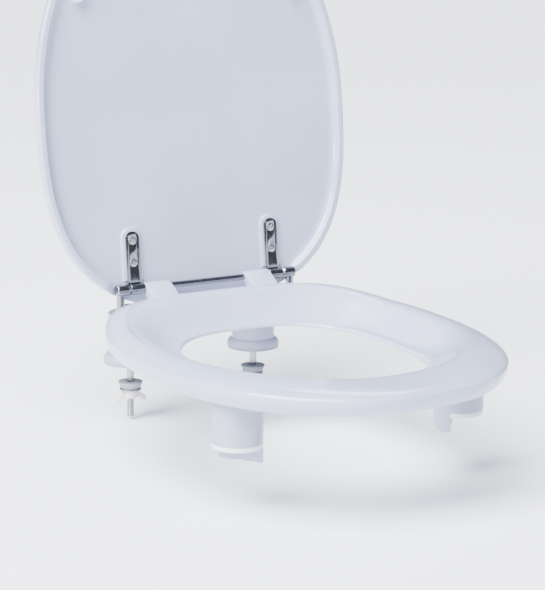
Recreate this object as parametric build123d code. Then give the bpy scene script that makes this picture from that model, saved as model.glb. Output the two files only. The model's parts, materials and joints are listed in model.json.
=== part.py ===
from build123d import *
import os
from math import atan2, cos, degrees, radians, sin, tan

# Raised toilet seat with lid.  Millimetres, +Z up, the front of the seat is towards -Y.
# The origin is midway between the two fixing bolts, on the plane of the bowl rim.

# ---- driving sizes ----------------------------------------------------------------------
seat_half_width = 183.5        # widest half width of the ring
seat_reach = 437.0             # hinge axis to the front edge of the ring
seat_widest = 206.0            # distance of the widest place in front of the hinge axis
seat_front_power = 2.3         # fullness of the outline: 2 is an ellipse
seat_back_power = 2.6
seat_back_gap = 10.0           # hinge axis to the straight back edge of the ring
seat_corner_blend = 14.0       # sharpness of the back corners
seat_thickness = 28.0          # underside to crest
seat_raise = 49.0              # bowl rim to the underside of the ring
rear_rise = 11.5               # how much the ring climbs towards its hinge
rear_rise_length = 130.0       # distance over which it climbs
side_border = 74.5             # outer edge to the opening, at the widest place
front_border = 84.0            # front edge to the opening
back_border = 73.0             # back edge to the opening
opening_widest = 209.0
opening_front_power = 2.45
opening_back_power = 2.9
dish_depth = 24.0              # crest to the inner edge, at the sides and back
dish_depth_front = 12.5
crest_inset = 24.0             # outer edge to the crest, at the sides
crest_inset_front = 54.0
crest_inset_back = 20.0
front_scoop = 4.0              # dip in the crest over the front centreline
widest_height = 17.0           # underside to the widest level of the outer wall
under_radius = 11.5            # rounding under the outer wall
inner_radius = 3.0             # rounding of the inner top edge
lug_depth = 20.0               # how far a hinge lug is let into the back of the ring
lug_cover = 3.0                # rear crest to the top of the lug, where it ends
lug_thickness = 9.0
lug_heel = 14.0                # hinge axis to the lowest corner of the lug

lid_side_overhang = 3.5        # lid past the ring, at the sides
lid_front_overhang = 10.0
lid_widest = 191.0
lid_front_power = 2.0
lid_back_power = 2.8
lid_tail = 24.0                # how far the lid runs past the hinge axis
lid_panel_gap = 1.0            # hinge barrels to the inner panel
lid_lip_level = -1.0           # hinge axis to the lip
lid_wall = 5.0                 # panel to the start of the outer dome
lid_crown = 2.0                # extra thickness in the middle
lid_lip_width = 18.0
lid_edge_radius = 8.0          # rounding of the outer edge
lid_lip_radius = 2.0
lid_pan_radius = 7.0           # hollow that runs from the lip down to the panel
lid_relief_front = 14.0        # the lip is left out from here to the tail, over the hinge
lid_relief_margin = 3.0
lid_open_lean = 7.7            # degrees past upright when open
lid_closed_drop = 1.2          # degrees below level when closed

fixing_spacing = 155.0
hinge_forward = 34.0           # fixing bolts to the hinge axis
hinge_height = 90.0            # bowl rim to the hinge axis
rod_radius = 3.5
rod_cap = 2.5                  # closed end of the pillar's barrel
rod_end_gap = 0.3
running_gap = 0.05             # radial clearance of the rod in its bushes
press_gap = 0.02               # parts that are pushed or screwed together
side_gap = 0.4                 # between hinge barrels, along the rod
bush_radius = 4.6
barrel_radius = 6.0
knuckle_inner = 46.0           # the hinge lug runs from here
knuckle_outer = 77.0           # to here
arm_outer = 94.0               # then the lid arm's barrel to here
pillar_outer = 110.0           # then the pillar's barrel to here
grub_radius = 1.5
grub_place = 5.0               # inner end of the pillar's barrel to its grub screw

strap_width = 16.0
strap_thickness = 2.2
strap_set_in = 0.7             # top of the barrel to the upper face of the strap
strap_reach = 62.0
strap_screw_places = (28.0, 52.0)
screw_head_radius = 4.5
screw_shank_radius = 2.0
screw_length = 6.5
screw_end_gap = 0.5
recess_length = 5.2            # cross recess in the screw heads
recess_width = 1.1
recess_depth = 0.8
pad_margin = 3.0               # packing pad past the strap
pad_start = 9.0                # hinge axis to the pad

bumper_radius = 7.5            # round buffers in the lid
bumper_direction = 50.0        # degrees off the front, seen from the widest place
bumper_gap = 0.4
bumper_peg_radius = 3.0
bumper_peg_length = 2.8
bumper_peg_gap = 0.2

post_radius = 24.0
foot_radius = 29.5
foot_height = 9.0
gasket_inset = 0.5
gasket_thickness = 2.0
plate_thickness = 3.0
plate_bolt_radius = 14.0       # end of the pillar plate round the bolt
plate_stem_radius = 7.0        # end of the pillar plate round the stem
stem_radius = 4.3
stem_inset = 5.0               # outer end of the pillar barrel to the stem
lid_sweep_gap = 3.0            # clearance under the tail of the lid
bolt_radius = 4.0
bolt_gap = 0.4
bolt_relief = 0.3              # the bolt is this much thinner outside the bowl
bolt_length_below = 62.0
bowl_ledge = 22.0              # thickness of the ledge that the bolts clamp
bolt_head_radius = 6.5
bolt_head_height = 5.3
cone_washer_height = 8.0
cone_washer_radius = 14.0
cone_washer_taper = 4.0
washer_thickness = 1.6
washer_radius = 12.0
nut_height = 9.0
nut_hub_radius = 8.0
nut_wing_reach = 19.0
nut_wing_drop = 6.0
nut_wing_thickness = 4.0

buffer_radius = 25.0
buffer_direction = 52.66       # degrees off the front, seen from the widest place
buffer_inset = 43.5            # outline of the ring to the axis of a front buffer
buffer_pad_height = 5.0
buffer_tab_depth = 16.0        # how far the locating tab hangs inside the rim
buffer_bevel = 1.5
buffer_step = 7.0              # buffer axis to the step
buffer_gap = 0.3
buffer_web = 12.0              # solid top of the hollow buffer
buffer_well_radius = 9.0
buffer_screw_radius = 3.0
buffer_screw_depth = 11.0      # how far it bites into the ring
buffer_screw_head = 3.0
buffer_screw_margin = 1.0      # screw head to the wall of the well
buffer_recess_length = 8.0
buffer_recess_width = 1.4
buffer_recess_depth = 1.5

# ---- derived places ---------------------------------------------------------------------
hinge = Location((0, -hinge_forward, hinge_height))
lid_open = hinge * Rot(-(90 + lid_open_lean), 0, 0)
underside = seat_raise - hinge_height          # ring underside, from the hinge axis
crest = underside + seat_thickness
opening_half_width = seat_half_width - side_border
opening_front = seat_reach - front_border
opening_back = seat_back_gap + back_border
lid_half_width = seat_half_width + lid_side_overhang
lid_reach = seat_reach + lid_front_overhang
lid_panel_level = barrel_radius + lid_panel_gap
strap_top = barrel_radius - strap_set_in
strap_bottom = strap_top - strap_thickness
arm_centre = (knuckle_outer + arm_outer) / 2
bush_bore = rod_radius + running_gap
rod_end = pillar_outer - rod_cap
tail_sweep = ((lid_tail ** 2 + (lid_panel_level + lid_wall + lid_crown) ** 2)) ** 0.5
post_top = -(tail_sweep + lid_sweep_gap + plate_thickness)
sides = {"left": -1, "right": 1}


def superellipse(angle, half_width, front, back, front_power, back_power):
    """Distance from the widest place to the outline, angle in degrees off the front."""
    across = abs(sin(radians(angle)))
    along = abs(cos(radians(angle)))
    ahead = cos(radians(angle)) > 0
    length = front if ahead else back
    power = front_power if ahead else back_power
    total = (across / half_width) ** power + (along / length) ** power
    return total ** (-1 / power)


def seat_outline(angle):
    """The ring's outline: an oval whose back is cut straight, with rounded corners."""
    front = seat_reach - seat_widest
    distance = superellipse(angle, seat_half_width, front, seat_widest, seat_front_power, seat_back_power)
    along_back = -cos(radians(angle))
    if along_back <= 0:
        return distance
    straight = (seat_widest - seat_back_gap) / along_back
    blend = seat_corner_blend
    return (distance ** -blend + straight ** -blend) ** (-1 / blend)


def opening_outline(angle):
    front = opening_front - opening_widest
    back = opening_widest - opening_back
    return superellipse(angle, opening_half_width, front, back, opening_front_power, opening_back_power)


def lid_outline(angle):
    front = lid_reach - lid_widest
    back = lid_widest + lid_tail
    return superellipse(angle, lid_half_width, front, back, lid_front_power, lid_back_power)


def polar(distance, angle, ahead):
    """A plan point, measured from a centre that lies a distance ahead of the hinge."""
    return Vector(distance * sin(radians(angle)), -ahead - distance * cos(radians(angle)))


def rise(ahead):
    """How much the ring is lifted at a distance in front of the hinge axis."""
    share = min(max(ahead / rear_rise_length, 0), 1)
    return rear_rise * (1 - share * share * (3 - 2 * share))


def crest_width(angle):
    """Outer edge to the crest."""
    along = cos(radians(angle))
    end = crest_inset_front if along > 0 else crest_inset_back
    return crest_inset + (end - crest_inset) * along * along


def crest_level(angle):
    return crest - front_scoop * max(cos(radians(angle)), 0) ** 8


def ring_section(angle):
    """Closed section of the ring, in the upright plane through its inner and outer edge."""
    inner = polar(opening_outline(angle), angle, opening_widest)
    outer = polar(seat_outline(angle), angle, seat_widest)
    width = (outer - inner).length
    across = (outer - inner) / width
    top = crest_level(angle)
    inset = crest_width(angle)
    dish = dish_depth - (dish_depth - dish_depth_front) * max(cos(radians(angle)), 0) ** 2
    lip = crest - dish
    widest = underside + widest_height

    def place(offset, height):
        spot = inner + across * offset
        return Vector(spot.X, spot.Y, height + rise(-spot.Y))

    quarter = [radians(step * 22.5) for step in range(5)]
    over = [(inner_radius * (1 - cos(a)), lip - inner_radius * (1 - sin(a))) for a in quarter]
    run = width - inset - inner_radius
    for step in (1, 2, 3):
        share = step / 4
        ease = share * share * (3 - 2 * share)
        over.append((inner_radius + run * share, lip + (top - lip) * ease))
    over += [(width - inset + inset * sin(a), widest + (top - widest) * cos(a)) for a in quarter]
    under = [(width - under_radius * (1 - cos(a)), widest - widest_height * sin(a)) for a in quarter[1:]]
    lower = [place(offset, underside) for offset in (width - under_radius, width / 2, 0)]
    upper = [place(*spot) for spot in over + under]
    return Wire([Spline(*upper), Spline(*lower), Line(lower[-1], upper[0])])


def tube(start, end, radius, bore=0.0):
    """Round bar or bush along X, centred on the hinge axis."""
    low = min(start, end)
    length = abs(end - start)
    bar = Pos(low + length / 2, 0, 0) * Rot(0, 90, 0) * Cylinder(radius, length)
    if bore:
        bar -= Pos(low + length / 2, 0, 0) * Rot(0, 90, 0) * Cylinder(bore, length + 2)
    return bar


def upright(radius, low, high, x=0.0, y=0.0):
    return Pos(x, y, (low + high) / 2) * Cylinder(radius, high - low)


def lug_block(side):
    """The bar that carries the rod, with its barrel, before the bore."""
    level = crest + rear_rise
    back = -seat_back_gap - lug_depth
    profile = Plane.YZ * Polygon((1, barrel_radius), (back, level - lug_cover),
                                 (back, level - lug_cover - lug_thickness),
                                 (-lug_heel, level - lug_cover - lug_thickness - 1),
                                 (0, -barrel_radius), align=None)
    start = knuckle_inner if side > 0 else -knuckle_outer
    bar = Pos(start, 0, 0) * extrude(profile, amount=knuckle_outer - knuckle_inner, dir=(1, 0, 0))
    return bar + tube(side * knuckle_inner, side * knuckle_outer, barrel_radius)


def make_lug(side):
    bore = tube(side * (knuckle_inner - 1), side * (knuckle_outer + 1), bush_radius + press_gap)
    return lug_block(side) - bore


def make_seat_ring():
    angles = [12 * step for step in range(11)] + [120 + 6 * step for step in range(1, 11)]
    half = Solid.make_loft([ring_section(angle) for angle in angles])
    ring = half + half.mirror(Plane.YZ)
    for side in sides.values():
        ring -= lug_block(side)
        spot = buffer_place(side)
        deep = underside + buffer_screw_depth
        ring -= upright(buffer_screw_radius + press_gap, underside - 1, deep, spot.X, spot.Y)
    return ring


def buffer_place(side):
    """Axis of a front buffer, in plan, from the hinge axis."""
    angle = side * buffer_direction
    return polar(seat_outline(angle) - buffer_inset, angle, seat_widest)


def lid_face(inset, level):
    """The lid's outline at a level, drawn in by an inset."""
    spots = []
    for step in range(24):
        spot = polar(lid_outline(step * 15) - inset, step * 15, lid_widest)
        spots.append(Vector(spot.X, spot.Y, level))
    return make_face(Wire([Spline(*spots, periodic=True)]))


def make_lid():
    """The lid in its level position, under side down, hinge axis along X at zero height."""
    depth = lid_panel_level - lid_lip_level
    shell = extrude(lid_face(0, lid_lip_level), amount=depth + lid_wall + lid_crown)
    shell = fillet(shell.edges().group_by(Axis.Z)[-1], lid_edge_radius)
    shell = fillet(shell.edges().group_by(Axis.Z)[0], lid_lip_radius)
    pan = extrude(lid_face(lid_lip_width - lid_pan_radius, lid_lip_level - 1), amount=depth + 1)
    pan = fillet(pan.edges().group_by(Axis.Z)[-1], lid_pan_radius)
    shell -= pan
    relief_length = lid_tail + lid_relief_front
    relief = Box(2 * (pillar_outer + lid_relief_margin), relief_length + 2, depth + 2)
    middle = relief_length / 2 - lid_relief_front + 1
    shell -= Pos(0, middle, lid_panel_level - (depth + 2) / 2) * relief
    for side in sides.values():
        for ahead in strap_screw_places:
            shell -= screw_hole(side, ahead)
        spot = bumper_place(side)
        peg = lid_panel_level + bumper_peg_length + bumper_peg_gap
        shell -= upright(bumper_peg_radius + press_gap, lid_panel_level - 1, peg, spot.X, spot.Y)
    return shell


def screw_hole(side, ahead):
    """Hole for an arm screw, from the strap up into the lid."""
    radius = screw_shank_radius + press_gap
    return upright(radius, strap_top - 1, strap_top + screw_length, side * arm_centre, -ahead)


def make_arm_pad(side):
    """Packing pad between the strap and the panel of the lid."""
    width = strap_width + 2 * pad_margin
    length = strap_reach + pad_margin - pad_start
    thickness = lid_panel_level - strap_top
    place = Pos(side * arm_centre, -pad_start - length / 2, strap_top + thickness / 2)
    pad = place * Box(width, length, thickness)
    pad = fillet(pad.edges().filter_by(Axis.Z).group_by(Axis.Y)[0], width / 2 - 0.5)
    for ahead in strap_screw_places:
        pad -= screw_hole(side, ahead)
    return pad


def bumper_place(side):
    """Centre of a lid buffer in plan: over the crest of the ring."""
    angle = side * bumper_direction
    return polar(seat_outline(angle) - crest_width(angle), angle, seat_widest)


def bumper_height():
    """The buffer spans from the panel to just above the crest when the lid is closed."""
    ahead = -bumper_place(1).Y
    fall = tan(radians(lid_closed_drop)) * ahead
    return lid_panel_level - fall - crest_level(bumper_direction) - bumper_gap


def make_bumper(side):
    spot = bumper_place(side)
    height = bumper_height()
    body = upright(bumper_radius, lid_panel_level - height, lid_panel_level, spot.X, spot.Y)
    body = fillet(body.edges().sort_by(Axis.Z)[0], bumper_radius * 0.7)
    peg = upright(bumper_peg_radius, lid_panel_level, lid_panel_level + bumper_peg_length, spot.X, spot.Y)
    return body + peg


def make_lid_arm(side):
    centre = side * arm_centre
    half = strap_width / 2
    length = strap_reach - half
    middle = strap_top - strap_thickness / 2
    arm = Pos(centre, -length / 2, middle) * Box(strap_width, length, strap_thickness)
    arm += upright(half, strap_bottom, strap_top, centre, -length)
    low = side * (knuckle_outer + side_gap)
    high = side * (arm_outer - side_gap)
    arm += tube(low, high, barrel_radius)
    arm -= tube(low - side, high + side, bush_radius + press_gap)
    for ahead in strap_screw_places:
        arm -= countersink(centre, -ahead, press_gap)
    return arm


def countersink(x, y, gap):
    """Head of a countersunk screw that enters a strap from below."""
    head = Cone(screw_head_radius + gap, screw_shank_radius + gap, strap_thickness)
    return Pos(x, y, strap_bottom + strap_thickness / 2) * head


def cross_recess(length, width, depth):
    """Cutter for a cross recess whose floor is a depth above zero height."""
    return Box(length, width, 2 * depth) + Box(width, length, 2 * depth)


def make_arm_screws(side):
    centre = side * arm_centre
    screws = []
    for ahead in strap_screw_places:
        tip = strap_top + screw_length - screw_end_gap
        screw = countersink(centre, -ahead, 0) + upright(screw_shank_radius, strap_top, tip, centre, -ahead)
        recess = cross_recess(recess_length, recess_width, recess_depth)
        screws.append(screw - Pos(centre, -ahead, strap_bottom) * recess)
    return Compound(screws)


def make_front_buffer(side):
    """Column under the ring, with a tab on its inner side that hangs inside the bowl rim."""
    top = underside - buffer_gap
    rim = -hinge_height
    reach = 2 * buffer_radius
    height = buffer_pad_height + buffer_tab_depth
    cutter = Pos(buffer_radius - buffer_step, 0, rim + buffer_pad_height - height / 2)
    outer_half = cutter * Box(reach, 2 * reach, height)
    column = upright(buffer_radius, rim - buffer_tab_depth, top) - outer_half
    column = chamfer(column.edges().group_by(Axis.Z)[0], buffer_bevel)
    pad = upright(buffer_radius, rim, rim + buffer_pad_height) & outer_half
    well = upright(buffer_well_radius, rim - buffer_tab_depth - 1, top - buffer_web)
    bore = upright(buffer_screw_radius + running_gap, top - buffer_web - 1, top + 1)
    screw_low = top - buffer_web
    head_low = screw_low - buffer_screw_head
    screw = upright(buffer_screw_radius, screw_low, underside + buffer_screw_depth - screw_end_gap)
    screw += upright(buffer_well_radius - buffer_screw_margin, head_low, screw_low)
    recess = cross_recess(buffer_recess_length, buffer_recess_width, buffer_recess_depth)
    screw -= Pos(0, 0, head_low) * recess
    spot = buffer_place(side)
    angle = radians(buffer_direction)
    turn = degrees(atan2(-cos(angle), side * sin(angle)))
    place = Pos(spot.X, spot.Y, 0) * Rot(0, 0, turn)
    return place * (column - well - bore), place * (pad - well), place * screw


def make_pillar(side):
    """Stainless plate under the bolt head, a round stem, and the barrel that holds the rod."""
    stem_x = side * (pillar_outer - stem_inset)
    bolt_x = side * fixing_spacing / 2
    low = post_top
    bolt_end = Pos(bolt_x, hinge_forward, low) * Edge.make_circle(plate_bolt_radius)
    stem_end = Pos(stem_x, 0, low) * Edge.make_circle(plate_stem_radius)
    plate = extrude(make_face(make_hull([bolt_end, stem_end])), amount=plate_thickness)
    stem = upright(stem_radius, low, 0, stem_x, 0)
    barrel = tube(side * (arm_outer + side_gap), side * pillar_outer, barrel_radius)
    pillar = plate + stem + barrel
    pillar -= tube(side * arm_outer, side * rod_end, rod_radius + press_gap)
    pillar -= upright(bolt_radius + bolt_gap, low - 1, low + plate_thickness + 1, bolt_x, hinge_forward)
    grub_x = side * (arm_outer + grub_place)
    hole_length = barrel_radius + 1
    hole = Rot(90, 0, 0) * Cylinder(grub_radius + press_gap, hole_length)
    pillar -= Pos(grub_x, -hole_length / 2, 0) * hole
    grub_length = barrel_radius - rod_radius - rod_end_gap
    grub = Pos(grub_x, -rod_radius - grub_length / 2, 0) * Rot(90, 0, 0) * Cylinder(grub_radius, grub_length)
    return pillar, grub


def make_wing_nut():
    """Nut with two upright wings, top face at zero height."""
    hub = Pos(0, 0, -nut_height / 2) * Cylinder(nut_hub_radius, nut_height)
    root = nut_hub_radius / 2
    low = -nut_height - nut_wing_drop
    wing = Plane.XZ * Polygon((root, -2), (nut_wing_reach - 4, low), (nut_wing_reach, low + 1),
                              (nut_wing_reach, -nut_height), (nut_hub_radius, -1), align=None)
    wing = extrude(wing, amount=nut_wing_thickness / 2, both=True)
    nut = hub + wing + wing.rotate(Axis.Z, 180)
    return nut - Cylinder(bolt_radius - bolt_relief + running_gap, 6 * nut_height)


def make_fixing(side):
    """Everything on one fixing bolt, from the hex head down to the washers, in the origin frame."""
    x = side * fixing_spacing / 2
    top = post_top + hinge_height
    thin = bolt_radius - bolt_relief
    bolt = upright(thin, 0, top + plate_thickness, x) + upright(bolt_radius, -bowl_ledge, 0, x)
    bolt += upright(thin, -bolt_length_below, -bowl_ledge, x)
    head = extrude(RegularPolygon(bolt_head_radius, 6, major_radius=False), amount=bolt_head_height)
    bolt += Pos(x, 0, top + plate_thickness) * head
    post = upright(post_radius, gasket_thickness + foot_height, top, x)
    foot = upright(foot_radius, gasket_thickness, gasket_thickness + foot_height, x)
    foot = chamfer(foot.edges().group_by(Axis.Z)[-1], (foot_radius - post_radius) * 0.6)
    gasket = upright(foot_radius - gasket_inset, 0, gasket_thickness, x)
    bore = upright(bolt_radius + bolt_gap, -1, top + 1, x)
    level = -bowl_ledge
    cone = Pos(x, 0, level - cone_washer_height / 2)
    cone = cone * Cone(cone_washer_radius, cone_washer_radius - cone_washer_taper, cone_washer_height)
    cone -= upright(thin + running_gap, level - cone_washer_height - 1, level + 1, x)
    level -= cone_washer_height
    washer = upright(washer_radius, level - washer_thickness, level, x)
    washer -= upright(thin + bolt_gap, level - washer_thickness - 1, level + 1, x)
    nut = Pos(x, 0, level - washer_thickness) * make_wing_nut()
    return {"rear_post": post - bore, "rear_foot": foot - bore, "rear_gasket": gasket - bore,
            "fixing_bolt": bolt, "cone_washer": cone, "steel_washer": washer, "wing_nut": nut}


# ---- put it together --------------------------------------------------------------------
parts = {}
parts["seat_ring"] = hinge * make_seat_ring()
parts["lid"] = lid_open * make_lid()
rod_half = rod_end - rod_end_gap
parts["hinge_rod"] = hinge * tube(-rod_half, rod_half, rod_radius)
for name, side in sides.items():
    start = side * knuckle_inner
    parts[f"seat_lug_{name}"] = hinge * make_lug(side)
    parts[f"seat_bush_{name}"] = hinge * tube(start, side * knuckle_outer, bush_radius, bush_bore)
    arm_start = side * (knuckle_outer + side_gap)
    arm_end = side * (arm_outer - side_gap)
    parts[f"lid_bush_{name}"] = hinge * tube(arm_start, arm_end, bush_radius, bush_bore)
    parts[f"lid_arm_{name}"] = lid_open * make_lid_arm(side)
    parts[f"arm_pad_{name}"] = lid_open * make_arm_pad(side)
    parts[f"lid_arm_screws_{name}"] = lid_open * make_arm_screws(side)
    parts[f"lid_buffer_{name}"] = lid_open * make_bumper(side)
    column, pad, screw = make_front_buffer(side)
    parts[f"front_buffer_{name}"] = hinge * column
    parts[f"front_pad_{name}"] = hinge * pad
    parts[f"front_buffer_screw_{name}"] = hinge * screw
    pillar, grub = make_pillar(side)
    parts[f"hinge_pillar_{name}"] = hinge * pillar
    parts[f"pillar_screw_{name}"] = hinge * grub
    for piece, solid in make_fixing(side).items():
        parts[f"{piece}_{name}"] = solid

os.makedirs("parts", exist_ok=True)
for name, solid in parts.items():
    solid.label = name
    export_step(solid, f"parts/{name}.step")
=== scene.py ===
import bmesh
import bpy
import json
from math import cos, pi, radians, sin
from mathutils import Matrix, Vector


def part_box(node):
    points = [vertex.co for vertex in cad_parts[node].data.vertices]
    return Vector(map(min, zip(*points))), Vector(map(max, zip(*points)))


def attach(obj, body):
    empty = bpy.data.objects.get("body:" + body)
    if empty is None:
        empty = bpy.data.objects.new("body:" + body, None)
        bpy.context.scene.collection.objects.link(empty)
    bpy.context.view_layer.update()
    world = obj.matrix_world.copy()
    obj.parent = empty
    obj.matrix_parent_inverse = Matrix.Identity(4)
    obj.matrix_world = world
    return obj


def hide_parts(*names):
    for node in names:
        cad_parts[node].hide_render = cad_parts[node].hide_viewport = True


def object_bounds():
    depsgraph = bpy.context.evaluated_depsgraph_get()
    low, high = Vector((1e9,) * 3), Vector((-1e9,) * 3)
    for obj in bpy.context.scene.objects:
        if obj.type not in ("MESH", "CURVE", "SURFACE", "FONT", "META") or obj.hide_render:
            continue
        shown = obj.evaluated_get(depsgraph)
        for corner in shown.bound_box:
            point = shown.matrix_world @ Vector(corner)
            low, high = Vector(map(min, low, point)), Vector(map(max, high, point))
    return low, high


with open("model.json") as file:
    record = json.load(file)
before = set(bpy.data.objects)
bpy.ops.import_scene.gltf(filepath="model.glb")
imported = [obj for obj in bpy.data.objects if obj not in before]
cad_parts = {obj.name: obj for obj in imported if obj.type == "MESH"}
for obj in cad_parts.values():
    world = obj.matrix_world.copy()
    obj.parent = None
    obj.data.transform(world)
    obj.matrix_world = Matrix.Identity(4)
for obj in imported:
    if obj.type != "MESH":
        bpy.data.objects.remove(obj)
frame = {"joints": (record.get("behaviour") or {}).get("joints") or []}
cad_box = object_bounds()
MM = 0.001
X_AXIS, Y_AXIS, Z_AXIS = Vector((1, 0, 0)), Vector((0, 1, 0)), Vector((0, 0, 1))
ORIGIN = Vector((0, 0, 0))
sides = {"left": -1, "right": 1}

# ---- Studio: camera, floor and lights ---------------------------------------------------
# A plain pale floor lies just under the ends of the bolts.  A broad diffuser from the upper
# left lights seat and floor alike; a softbox and strips give the moulding long highlights.
joints = {joint["name"]: joint for joint in frame["joints"]}
hinge = Vector(joints["seat_hinge"]["pos_m"])
seat_low, seat_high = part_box("seat_ring")
look_at = Vector((0, hinge.y - 0.2, hinge.z))


def unit_view(azimuth, elevation):
    """Direction from the object towards a viewer."""
    a, e = radians(azimuth), radians(elevation)
    return Vector((sin(a) * cos(e), -cos(a) * cos(e), sin(e)))


camera_distance = 2.2
shift_right, shift_up = -0.027, 0.0237
back = unit_view(-29.8, 12.76)
right = Z_AXIS.cross(back).normalized()
up = back.cross(right)
roll = Matrix.Rotation(radians(0.48), 3, back)
right, up = roll @ right, roll @ up
camera = bpy.data.objects.new("camera", bpy.data.cameras.new("camera"))
camera.data.lens = 131.6
camera.data.sensor_width = 36
camera.data.clip_end = 20
camera.matrix_world = Matrix((
    (right.x, up.x, back.x, 0),
    (right.y, up.y, back.y, 0),
    (right.z, up.z, back.z, 0),
    (0, 0, 0, 1)))
camera.location = look_at + back * camera_distance + right * shift_right + up * shift_up
bpy.context.scene.collection.objects.link(camera)
bpy.context.scene.camera = camera


def srgb(code):
    """Turns an sRGB hex colour into linear RGBA."""
    parts = [int(code[i:i + 2], 16) / 255 for i in (0, 2, 4)]
    return [c / 12.92 if c <= 0.04045 else ((c + 0.055) / 1.055) ** 2.4 for c in parts] + [1]


def add_node(tree, kind, settings=None, links=None, **fields):
    """Adds a node, sets its inputs by name or index, and links (input, source socket) pairs."""
    node = tree.nodes.new(kind)
    for field, value in fields.items():
        setattr(node, field, value)
    for key, value in (settings or {}).items():
        node.inputs[key].default_value = value
    for key, source in (links or {}).items():
        tree.links.new(source, node.inputs[key])
    return node


def new_material(name):
    """An empty node material with its output, ready for a shader."""
    material = bpy.data.materials.new(name)
    material.use_nodes = True
    tree = material.node_tree
    tree.nodes.clear()
    output = tree.nodes.new("ShaderNodeOutputMaterial")
    return material, tree, output


def studio_floor():
    """A wide sheet of pale paper just under the lowest point of the seat."""
    material, tree, output = new_material("pale_paper_floor")
    paper = {"Base Color": srgb("F2F4F8"), "Roughness": 0.8}
    shader = add_node(tree, "ShaderNodeBsdfPrincipled", paper)
    tree.links.new(shader.outputs[0], output.inputs[0])
    mesh = bpy.data.meshes.new("studio_floor")
    half = 14.0
    level = cad_box[0][2] - 4 * MM
    corners = [(-half, -half, level), (half, -half, level), (half, half, level), (-half, half, level)]
    mesh.from_pydata(corners, [], [(0, 1, 2, 3)])
    mesh.materials.append(material)
    floor = bpy.data.objects.new("studio_floor", mesh)
    bpy.context.scene.collection.objects.link(floor)


def place_light(name, light, direction, distance):
    """Sets a light on its direction from the seat, looking at it."""
    lamp = bpy.data.objects.new(name, light)
    lamp.location = look_at + direction * distance
    lamp.rotation_euler = direction.to_track_quat("Z", "Y").to_euler()
    bpy.context.scene.collection.objects.link(lamp)


def soft_light(name, azimuth, elevation, distance, size, power, colour):
    """A rectangular softbox that looks at the seat."""
    light = bpy.data.lights.new(name, "AREA")
    light.shape = "RECTANGLE"
    light.size, light.size_y = size
    light.energy = power
    light.color = srgb(colour)[:3]
    place_light(name, light, unit_view(azimuth, elevation), distance)


studio_floor()
overhead = bpy.data.lights.new("overhead_diffuser", "SUN")
overhead.energy = 12.5
overhead.angle = radians(50)
overhead.color = srgb("FBFCFF")[:3]
place_light("overhead_diffuser", overhead, unit_view(-62, 60), 4)
soft_light("key_softbox", -78, 38, 2.2, (1.0, 0.9), 70, "FFFFFF")
soft_light("left_strip", -64, 14, 2.0, (1.5, 0.12), 26, "FFFFFF")
soft_light("right_strip", 80, 25, 2.4, (0.4, 1.4), 4, "DCE6FF")
soft_light("rear_strip", 160, 42, 2.2, (1.6, 0.4), 18, "E6EEFF")
world = bpy.data.worlds.new("studio_air")
bpy.context.scene.world = world
world.use_nodes = True
world.node_tree.nodes["Background"].inputs[0].default_value = srgb("DDE5F8")
world.node_tree.nodes["Background"].inputs[1].default_value = 0.25


# ---- Seat ring --------------------------------------------------------------------------
# The ring is one compression moulding of white urea thermoset: dense, hard and very
# glossy.  It is dished towards its opening and climbs a little towards the hinge.
def thermoset_material():
    """Compression-moulded urea resin: polished tool finish, faint flow in colour, fine wipe marks."""
    material, tree, output = new_material("urea_thermoset_polished_moulding")
    where = {"Vector": add_node(tree, "ShaderNodeTexCoord").outputs["Object"]}
    # The tint is darker and bluer than the real white, to suit the strong lights of this studio.
    flow = add_node(tree, "ShaderNodeTexNoise", {"Scale": 9.0, "Detail": 3.0, "Roughness": 0.5}, where)
    tint = add_node(tree, "ShaderNodeValToRGB", links={0: flow.outputs[0]})
    tint.color_ramp.elements[0].position = 0.3
    tint.color_ramp.elements[0].color = srgb("A2AAC6")
    tint.color_ramp.elements[1].position = 0.75
    tint.color_ramp.elements[1].color = srgb("B0B8D2")
    wipe = add_node(tree, "ShaderNodeTexNoise", {"Scale": 55.0, "Detail": 6.0, "Roughness": 0.65}, where)
    gloss = add_node(tree, "ShaderNodeMapRange", {1: 0.3, 2: 0.75, 3: 0.13, 4: 0.22}, {0: wipe.outputs[0]})
    sink = add_node(tree, "ShaderNodeTexNoise", {"Scale": 22.0, "Detail": 1.0}, where)
    bump = add_node(tree, "ShaderNodeBump", {"Strength": 0.05, "Distance": 0.4 * MM},
                    {"Height": sink.outputs[0]})
    shader = add_node(tree, "ShaderNodeBsdfPrincipled",
                      {"IOR": 1.56, "Coat Weight": 0.35, "Coat Roughness": 0.05, "Coat IOR": 1.5,
                       "Subsurface Weight": 0.06, "Subsurface Scale": 2 * MM},
                      {"Base Color": tint.outputs[0], "Roughness": gloss.outputs[0],
                       "Normal": bump.outputs[0]})
    tree.links.new(shader.outputs[0], output.inputs[0])
    return material


thermoset = thermoset_material()


def superellipse(angle, half_width, front, rear, front_power, rear_power):
    """Distance from the widest place to the outline, angle in degrees off the front."""
    along = cos(radians(angle))
    length = front if along > 0 else rear
    power = front_power if along > 0 else rear_power
    total = (abs(sin(radians(angle))) / half_width) ** power + (abs(along) / length) ** power
    return total ** (-1 / power)


def plan_point(distance, angle, ahead):
    """A place in plan, seen from a point so far ahead of the hinge."""
    return Vector((distance * sin(radians(angle)), -ahead - distance * cos(radians(angle)), 0))


def ease(share):
    """Runs from 0 to 1 with a level start and end."""
    return share * share * (3 - 2 * share)


def quarter_turn(steps):
    return [pi / 2 * i / steps for i in range(steps + 1)]


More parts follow.
